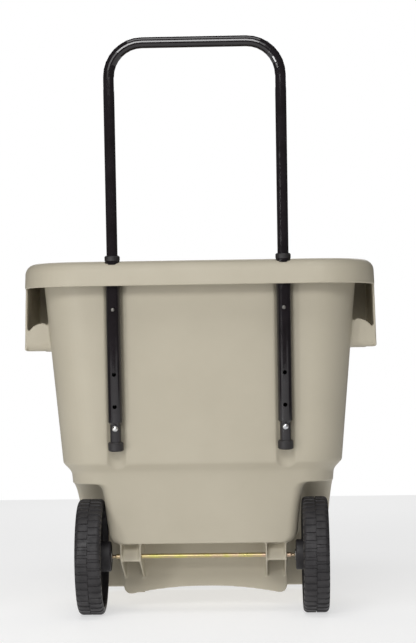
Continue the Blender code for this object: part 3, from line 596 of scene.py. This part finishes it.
def ear_solids(side):
    """A lift ear: outer skin, a lip and a gusset arch at each end, and a rib in the middle."""
    plate = RIM_TOP - WALL
    outer_top = HALF_WIDTH + wall_out(plate) + RIM_HANG - EAR_SET
    top = RIM_TOP - RIM_BAND + EAR_LAP

    def outer(z):
        return outer_top + EAR_FLARE * (top - z) / (top - EAR_BOTTOM)

    def wall(z):
        return HALF_WIDTH + wall_out(z) - WALL / 2

    def mirrored(outline):
        return [(x * side, z) for x, z in outline]

    skin = [(outer(top), top)]
    skin += arc(outer(EAR_BOTTOM) - EAR_ROUND, EAR_BOTTOM + EAR_ROUND, EAR_ROUND, 0, -EAR_TURN, steps=6)
    skin += [(outer(EAR_BOTTOM) - EAR_WALL, z) for z in (EAR_BOTTOM, EAR_BOTTOM + EAR_INSIDE)]
    skin += [(outer(top) - EAR_WALL, top)]
    made = [prism(mirrored(skin), "Y", -EAR_HALF, EAR_HALF)]

    low = EAR_BOTTOM + SINK
    face = EAR_HALF - SINK
    lip_top = low + EAR_LIP + EAR_LIP_ABOVE
    for end in (-1, 1):
        lip = [(face, lip_top)] + arc(face - EAR_LIP, low + EAR_LIP, EAR_LIP, 0, -90, steps=8)
        lip += [(EAR_HALF - EAR_END, low), (EAR_HALF - EAR_END, low + EAR_WALL)]
        lip += arc(face - EAR_LIP, low + EAR_LIP, EAR_LIP - EAR_WALL, -90, 0, steps=6)
        lip += [(face - EAR_WALL, lip_top)]
        span = sorted((side * wall(EAR_BOTTOM), side * (outer(EAR_BOTTOM) - EAR_WALL / 2)))
        made.append(prism([(y * end, z) for y, z in lip], "X", *span))

        base = low + EAR_LIP + EAR_ARCH_ABOVE
        shoulder = base + EAR_ARCH * EAR_ARCH_SHOULDER
        wide = outer(base) - EAR_WALL / 2 - wall(base)
        arch = [(wall(shoulder), shoulder)]
        arch += [(wall(base) + wide * (EAR_ARCH_CROWN + (1 - EAR_ARCH_CROWN) * sin(a)),
                  base + EAR_ARCH * cos(a))
                 for a in [pi / 2 * n / 12 for n in range(13)]]
        arch += [(wall(base), base)]
        depth = sorted((end * (face - SINK), end * (face - EAR_RIB)))
        made.append(prism(mirrored(arch), "Y", *depth))

    rib_low = EAR_BOTTOM + EAR_RIB_ABOVE
    rib_deep = EAR_RIB_COVER * WALL
    bend = HALF_WIDTH + wall_out(plate) + RIM_HANG - RIM_FLARE - RIM_ROUND
    rib = [(wall(rib_low), rib_low), (outer(rib_low) - EAR_WALL / 2, rib_low)]
    rib += [(outer(top) - EAR_WALL / 2, top)]
    rib += arc(bend, RIM_TOP - RIM_ROUND, RIM_ROUND - rib_deep, 0, 90, steps=6)
    rib += [(wall(plate), RIM_TOP - rib_deep)]
    made.append(prism(mirrored(rib), "Y", -EAR_RIB / 2, EAR_RIB / 2))
    return made


def bracket_solids(side):
    """An axle bracket: two ribs under the belly with a slanted plate between them."""
    root = BELLY_BOTTOM + WALL / 2
    made = []
    rib = [(BRACKET_REAR, root), (BRACKET_REAR, BRACKET_LOW), (PANEL_Y + WALL / 2, BRACKET_TIP),
           (PANEL_Y + WALL / 2, root)]
    for edge in (BRACKET_HALF, -BRACKET_HALF + BRACKET_WALL):
        high = side * BRACKET_X + edge
        made.append(prism(rib, "X", high - BRACKET_WALL, high))
    near, low = BRACKET_REAR + 2 * SINK, BRACKET_LOW + 2 * SINK
    plate = [(near + PLATE_RUN, root), (near, low), (near + PLATE_T, low),
             (near + PLATE_RUN + PLATE_T, root)]
    span = BRACKET_HALF - BRACKET_WALL / 2
    made.append(prism(plate, "X", side * BRACKET_X - span, side * BRACKET_X + span))
    return made


def leg_matrix(x):
    """Frame on a leg's axis at the rim's top, with its Z along the leg."""
    return Matrix.Translation((x, -leg_y(RIM_TOP), RIM_TOP)) @ Matrix.Rotation(LEAN, 4, "X")


def on_leg(solid, x, height):
    """A tool placed on a leg's axis where it passes a height."""
    verts, faces = solid
    place = leg_matrix(x) @ Matrix.Translation((0, 0, (height - RIM_TOP) / cos(LEAN)))
    return make_object("tool", [place @ Vector(v) for v in verts], faces)


def round_edges(piece, voxel, most):
    """Turns the union's sharp edges into moulded ones: an even mesh, smoothed and thinned again."""
    even = piece.modifiers.new("even", "REMESH")
    even.mode = "VOXEL"
    even.voxel_size = voxel
    settle(piece)
    soft = piece.modifiers.new("soft", "SMOOTH")
    soft.factor = SMOOTH_FACTOR
    soft.iterations = SMOOTH_ROUNDS
    settle(piece)
    triangles = 2 * len(piece.data.polygons)
    if triangles > most:
        thin = piece.modifiers.new("thin", "DECIMATE")
        thin.ratio = most / triangles
        settle(piece)
    piece.data.shade_smooth()


def make_tub():
    """Outside, with all that stands on it, then the cavity and the holes cut out."""
    tub = make_object("tub_shell", *envelope(0.0, RIM_TOP - WALL / 2, FLOOR_Z))
    combine(tub, underside_cuts(0.0), "DIFFERENCE")
    cavity = make_object("cavity", *envelope(WALL, RIM_TOP + PAST, FLOOR_Z + WALL))
    combine(cavity, underside_cuts(WALL), "DIFFERENCE")
    added = [rim_ring(), panel_skirt()]
    for side in (-1, 1):
        added += ear_solids(side) + bracket_solids(side) + [foot_solid(side)]
    tools = [make_object("tool", *solid) for solid in added]
    pad = turned(bar(PAD_R, PAD_START, GROOVE_R + WALL / 2), sides=24, axis="Y")
    tools += [on_leg(pad, side * GROOVE_X, BOLT_Z) for side in (-1, 1)]
    combine(tub, tools, "UNION")
    combine(tub, [cavity], "DIFFERENCE")
    holes = []
    for side in (-1, 1):
        holes.append(on_leg(turned(bar(GUIDE_HOLE_R, -PAST, PAST)), side * GROOVE_X, RIM_TOP))
        holes.append(on_leg(turned(bar(BOLT_HOLE_R, 0, PAST), sides=24, axis="Y"), side * GROOVE_X, BOLT_Z))
    verts, faces = turned(bar(AXLE_HOLE_R, -FAR, FAR), sides=32, axis="X")
    holes.append(make_object("tool", [Vector(v) + Vector((0, AXLE_Y, WHEEL_R)) for v in verts], faces))
    combine(tub, holes, "DIFFERENCE")
    round_edges(tub, VOXEL, MOST_FACES)
    tub.data.transform(Matrix.Translation((0, SHIFT, 0)))
    tub.data.materials.clear()
    tub.data.materials.append(LOOKS["tan_resin"])
    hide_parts("tub")
    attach(tub, "cart")


# ---- wheels -----------------------------------------------------------------------------------
LUGS = 44
LUG_TALL = 0.0020
LUG_SHARE = 0.64         # of the pitch, the rest is the gap between two lugs
LUG_SLOPE = 0.035        # share of the pitch over which a lug's flank rises
SEAM_HALF = 0.0009       # half width of the parting line round the middle of the tread
TREAD_SHOULDER = 0.008
LUG_FROM = 0.003         # lugs start this far out on the shoulder's curve
ROW_LEADS = (0.0, 0.5)   # the two rows of lugs are half a pitch apart
ROW_STEPS = (0.2, 0.5, 0.8)
FLAT_STOPS = (0.25, 0.37, 0.80, 0.90)   # places in the pitch that get a ring besides the flanks
HUB_R = 0.0265
HUB_PROUD = 0.0115       # the hub stands out of the inner side by this
HUB_SUNK = 0.0125        # and lies this far inside the outer side
HUB_CHAMFER = 0.0015
BORE_R = 0.00435
BORE_LAND = 0.003
RIM_THICK = 0.015
RIM_BEVEL = 0.0012
WEB_FILLET = 0.003
WEB_IN = 0.013           # depth of the web under the inner side
WEB_OUT = 0.021          # and under the outer side


def lug_height(at, lead):
    """Height of the tread at a place in the pitch, from 0 in a gap to 1 on a lug."""
    at = (at - lead) % 1.0
    if at > 1.0 - LUG_SLOPE:
        at -= 1.0
    rise = min(1.0, max(0.0, (at + LUG_SLOPE) / (2 * LUG_SLOPE)))
    fall = min(1.0, max(0.0, (LUG_SHARE + LUG_SLOPE - at) / (2 * LUG_SLOPE)))
    return min(rise, fall)


def wheel_outline(side):
    """Outline as (radius, distance from the cart's middle, row of lugs or None)."""
    low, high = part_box("wheel_right" if side > 0 else "wheel_left")
    near = min(abs(low.x), abs(high.x))
    outside = max(abs(low.x), abs(high.x))
    inside = near + HUB_PROUD
    boss = outside - HUB_SUNK
    middle = (inside + outside) / 2
    rim_in = WHEEL_R - RIM_THICK
    shoulder = WHEEL_R - TREAD_SHOULDER
    lug_from = shoulder + LUG_FROM
    web_in, web_out = inside + WEB_IN, outside - WEB_OUT

    points = [(BORE_R, near, None), (BORE_R + BORE_LAND, near, None), (HUB_R - HUB_CHAMFER, near, None)]
    points += [(HUB_R, near + HUB_CHAMFER, None), (HUB_R, web_in - WEB_FILLET, None)]
    points += [(HUB_R + WEB_FILLET, web_in, None), (rim_in - WEB_FILLET, web_in, None)]
    points += [(rim_in, web_in - WEB_FILLET, None), (rim_in + WEB_FILLET / 2, inside + RIM_BEVEL, None)]
    points += [(rim_in + WEB_FILLET, inside, None)]
    for r, x in arc(shoulder, inside + TREAD_SHOULDER, TREAD_SHOULDER, -90, 0, steps=8):
        points.append((r, x, 0 if r > lug_from else None))
    for share in ROW_STEPS:
        points.append((WHEEL_R, inside + TREAD_SHOULDER + (middle - inside - TREAD_SHOULDER) * share, 0))
    points += [(WHEEL_R, middle - SEAM_HALF, 0), (WHEEL_R - LUG_TALL, middle - SEAM_HALF / 2, None)]
    points += [(WHEEL_R - LUG_TALL, middle + SEAM_HALF / 2, None), (WHEEL_R, middle + SEAM_HALF, 1)]
    for share in ROW_STEPS:
        points.append((WHEEL_R, middle + (outside - TREAD_SHOULDER - middle) * share, 1))
    for r, x in arc(shoulder, outside - TREAD_SHOULDER, TREAD_SHOULDER, 0, 90, steps=8):
        points.append((r, x, 1 if r > lug_from else None))
    points += [(rim_in + WEB_FILLET, outside, None), (rim_in + WEB_FILLET / 2, outside - RIM_BEVEL, None)]
    points += [(rim_in, web_out + WEB_FILLET, None), (rim_in - WEB_FILLET, web_out, None)]
    points += [(HUB_R + WEB_FILLET, web_out, None), (HUB_R, web_out + WEB_FILLET, None)]
    points += [(HUB_R, boss - HUB_CHAMFER, None), (HUB_R - HUB_CHAMFER, boss, None)]
    points += [(BORE_R + BORE_LAND, boss, None), (BORE_R, boss, None)]
    return points


def make_wheel(word, side):
    """One wheel: its outline turned lug by lug."""
    outline = wheel_outline(side)
    edges = [edge for lead in ROW_LEADS for edge in (lead, lead + LUG_SHARE)]
    flanks = [(edge + slope) % 1.0 for edge in edges for slope in (-LUG_SLOPE, LUG_SLOPE)]
    stops = sorted(flanks + list(FLAT_STOPS))
    rings = []
    for lug in range(LUGS):
        for at in stops:
            a = 2 * pi * (lug + at) / LUGS
            row = []
            for r, x, lugs in outline:
                if lugs is not None:
                    r -= LUG_TALL * (1.0 - lug_height(at, ROW_LEADS[lugs]))
                row.append((side * x, AXLE_Y + SHIFT + r * cos(a), WHEEL_R + r * sin(a)))
            rings.append(row)
    solid = loft(rings, closed=True)
    wheel = make_object("wheel_tread_" + word, *solid, LOOKS["wheel_plastic"], smooth_angle=28)
    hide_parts("wheel_" + word)
    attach(wheel, word + "_wheel")


# ---- studio -----------------------------------------------------------------------------------
CAMERA_PLACE = (0.1079, -3.5286, 0.4522)
CAMERA_TILT, CAMERA_TURN, CAMERA_ROLL = 1.055, 1.599, -0.840   # degrees
LENS = 106.72
SENSOR = 36
LAMP_AIM = (0, 0, 0.42)
FILL = 0.06
FLOOR_GREY = 0.48
FLOOR_GLOW = 0.58
FLOOR_HALF = 2.6
FLOOR_SINK = 0.0005


def make_camera():
    data = bpy.data.cameras.new("camera")
    data.lens = LENS
    data.sensor_width = SENSOR
    camera = bpy.data.objects.new("camera", data)
    bpy.context.scene.collection.objects.link(camera)
    aim = Euler((radians(90 + CAMERA_TILT), 0, radians(CAMERA_TURN)), "XYZ").to_matrix()
    roll = Matrix.Rotation(radians(CAMERA_ROLL), 3, "Z")
    camera.matrix_world = Matrix.Translation(CAMERA_PLACE) @ (aim @ roll).to_4x4()
    bpy.context.scene.camera = camera


def lamp(name, azimuth, elevation, distance, wide, tall, power):
    """A soft box.  Azimuth 0 is behind the cart, where the camera stands, and grows to the left."""
    a, e = radians(azimuth), radians(elevation)
    data = bpy.data.lights.new(name, "AREA")
    data.shape = "RECTANGLE"
    data.size, data.size_y = wide, tall
    data.energy = power
    made = bpy.data.objects.new(name, data)
    bpy.context.scene.collection.objects.link(made)
    aim = Vector(LAMP_AIM)
    made.location = aim + distance * Vector((-sin(a) * cos(e), -cos(a) * cos(e), sin(e)))
    made.rotation_euler = (aim - made.location).to_track_quat("-Z", "Y").to_euler()
    made.visible_camera = False


def make_world():
    """White where the camera looks, and a dimmer fill for what it lights."""
    world = bpy.data.worlds.new("studio")
    bpy.context.scene.world = world
    world.use_nodes = True
    tree = world.node_tree
    seen = tree.nodes["Background"]
    seen.inputs["Color"].default_value = (1, 1, 1, 1)
    seen.inputs["Strength"].default_value = 1.0
    fill = tree.nodes.new("ShaderNodeBackground")
    fill.inputs["Color"].default_value = (1, 1, 1, 1)
    fill.inputs["Strength"].default_value = FILL
    path = tree.nodes.new("ShaderNodeLightPath")
    mix = tree.nodes.new("ShaderNodeMixShader")
    tree.links.new(path.outputs["Is Camera Ray"], mix.inputs["Fac"])
    tree.links.new(fill.outputs["Background"], mix.inputs[1])
    tree.links.new(seen.outputs["Background"], mix.inputs[2])
    tree.links.new(mix.outputs["Shader"], tree.nodes["World Output"].inputs["Surface"])


def make_floor():
    verts = [(-FLOOR_HALF, -FLOOR_HALF, 0), (FLOOR_HALF, -FLOOR_HALF, 0),
             (FLOOR_HALF, FLOOR_HALF, 0), (-FLOOR_HALF, FLOOR_HALF, 0)]
    mesh = bpy.data.meshes.new("floor")
    mesh.from_pydata(verts, [], [(0, 1, 2, 3)])
    paint = bpy.data.materials.new("pale_floor")
    paint.use_nodes = True
    shader = paint.node_tree.nodes["Principled BSDF"]
    shader.inputs["Base Color"].default_value = (FLOOR_GREY, FLOOR_GREY, FLOOR_GREY, 1)
    shader.inputs["Roughness"].default_value = 0.9
    shader.inputs["Specular IOR Level"].default_value = 0.1
    shader.inputs["Emission Color"].default_value = (1, 1, 1, 1)
    shader.inputs["Emission Strength"].default_value = FLOOR_GLOW
    mesh.materials.append(paint)
    floor = bpy.data.objects.new("floor", mesh)
    bpy.context.scene.collection.objects.link(floor)
    floor.location.z = -FLOOR_SINK


make_camera()
make_world()
make_floor()
lamp("key", 8, 24, 3.2, 1.5, 0.6, 28)
lamp("front_fill", 5, 15, 3.4, 1.8, 0.9, 14)
lamp("overhead", 4, 62, 3.0, 2.2, 1.2, 28)
lamp("strip", 33, -2, 2.2, 0.17, 0.75, 8)
lamp("far_side", 180, 30, 3.4, 2.4, 1.6, 34)
bpy.context.scene.view_settings.view_transform = "Standard"

make_tub()
for wheel_word, wheel_side in (("left", -1), ("right", 1)):
    make_wheel(wheel_word, wheel_side)

for row in frame["record"]["subparts"]:
    kept = frame["nodes"][row["node"]]
    kept.data.materials.clear()
    dull = row["node"].startswith(DULL_NODES)
    kept.data.materials.append(DULL_ZINC if dull else LOOKS[row["material_slot"]])
